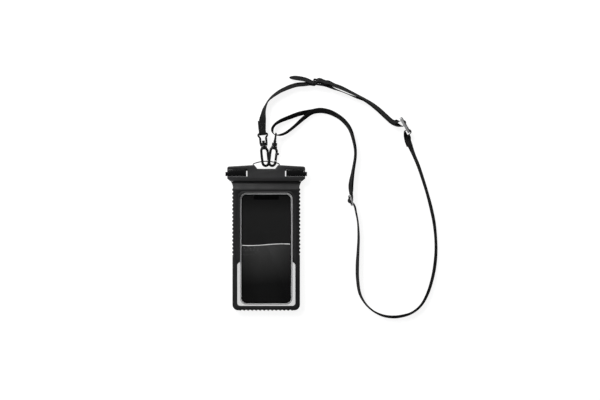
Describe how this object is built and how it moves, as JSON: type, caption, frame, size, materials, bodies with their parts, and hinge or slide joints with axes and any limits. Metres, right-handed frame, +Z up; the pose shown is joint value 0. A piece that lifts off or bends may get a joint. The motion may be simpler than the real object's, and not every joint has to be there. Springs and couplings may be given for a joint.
{
  "type": "waterproof phone case",
  "caption": "Clear-windowed waterproof pouch with a clamp bar, flip locks and an adjustable webbing lanyard on snap hooks, lying on its back around a plain phone.",
  "frame": {"origin": "middle of the case's footprint on the floor, measured without the lanyard and its hooks", "axes": "+X to the case's right, +Y along the case towards the clamp bar, +Z up out of the clear window"},
  "size_m": [0.2967, 0.3401, 0.015],
  "materials": {
    "charcoal_plastic": "satin moulded",
    "black_plastic": "semi-gloss moulded",
    "black_rubber": "matte ribbed",
    "clear_film": "clear flexible film",
    "grey_silicone": "soft",
    "dark_steel": "dark plated",
    "grey_satin_metal": "satin",
    "phone_frame": "satin",
    "phone_glass": "dark, glossy",
    "black_webbing": "woven"
  },
  "bodies": {
    "case": {"clamp_front_jaw": "charcoal_plastic", "clamp_back_jaw": "charcoal_plastic", "front_seal_strip": "grey_silicone", "back_seal_strip": "grey_silicone", "left_lock_pin": "dark_steel", "right_lock_pin": "dark_steel", "lanyard_bail": "dark_steel", "front_frame": "black_rubber", "back_frame": "black_rubber", "front_window": "clear_film", "back_window": "clear_film", "enclosed_phone_body": "phone_frame", "enclosed_phone_screen": "phone_glass", "left_hook_eye": "black_plastic", "right_hook_eye": "black_plastic", "upper_strap": "black_webbing", "lower_strap": "black_webbing", "top_slider": "black_plastic", "ladder_slider": "grey_satin_metal", "lower_slider": "grey_satin_metal"},
    "left_lock": {"left_lock_lever": "black_plastic"},
    "right_lock": {"right_lock_lever": "black_plastic"},
    "left_hook": {"left_hook_body": "black_plastic", "left_hook_gate_pin": "dark_steel"},
    "left_gate": {"left_hook_gate": "dark_steel"},
    "right_hook": {"right_hook_body": "black_plastic", "right_hook_gate_pin": "dark_steel"},
    "right_gate": {"right_hook_gate": "dark_steel"}
  },
  "joints": [
    {"name": "left_lock_flip", "type": "hinge", "parent": "case", "child": "left_lock", "pos_m": [-0.04025, 0.0911, 0.0104], "axis": [-1, 0, 0], "range_deg": [0, 90]},
    {"name": "right_lock_flip", "type": "hinge", "parent": "case", "child": "right_lock", "pos_m": [0.04025, 0.0911, 0.0104], "axis": [-1, 0, 0], "range_deg": [0, 90]},
    {"name": "left_hook_swivel", "type": "hinge", "parent": "case", "child": "left_hook", "pos_m": [-0.0009, 0.1027, 0.0077], "axis": [-0.1045, 0.9945, 0], "range_deg": [0, 25]},
    {"name": "left_gate_swing", "type": "hinge", "parent": "left_hook", "child": "left_gate", "pos_m": [0.00176, 0.11867, 0.00479], "axis": [-0.5561, -0.0585, -0.829], "range_deg": [0, 28], "stiffness_Nm_per_rad": 0.004, "springref_deg": -8.59},
    {"name": "right_hook_swivel", "type": "hinge", "parent": "case", "child": "right_hook", "pos_m": [0.0084, 0.1027, 0.0077], "axis": [0.1288, 0.9917, 0], "range_deg": [0, 25]},
    {"name": "right_gate_swing", "type": "hinge", "parent": "right_hook", "child": "right_gate", "pos_m": [0.01468, 0.11761, 0.00479], "axis": [-0.5545, 0.072, -0.829], "range_deg": [0, 28], "stiffness_Nm_per_rad": 0.004, "springref_deg": -8.59}
  ]
}
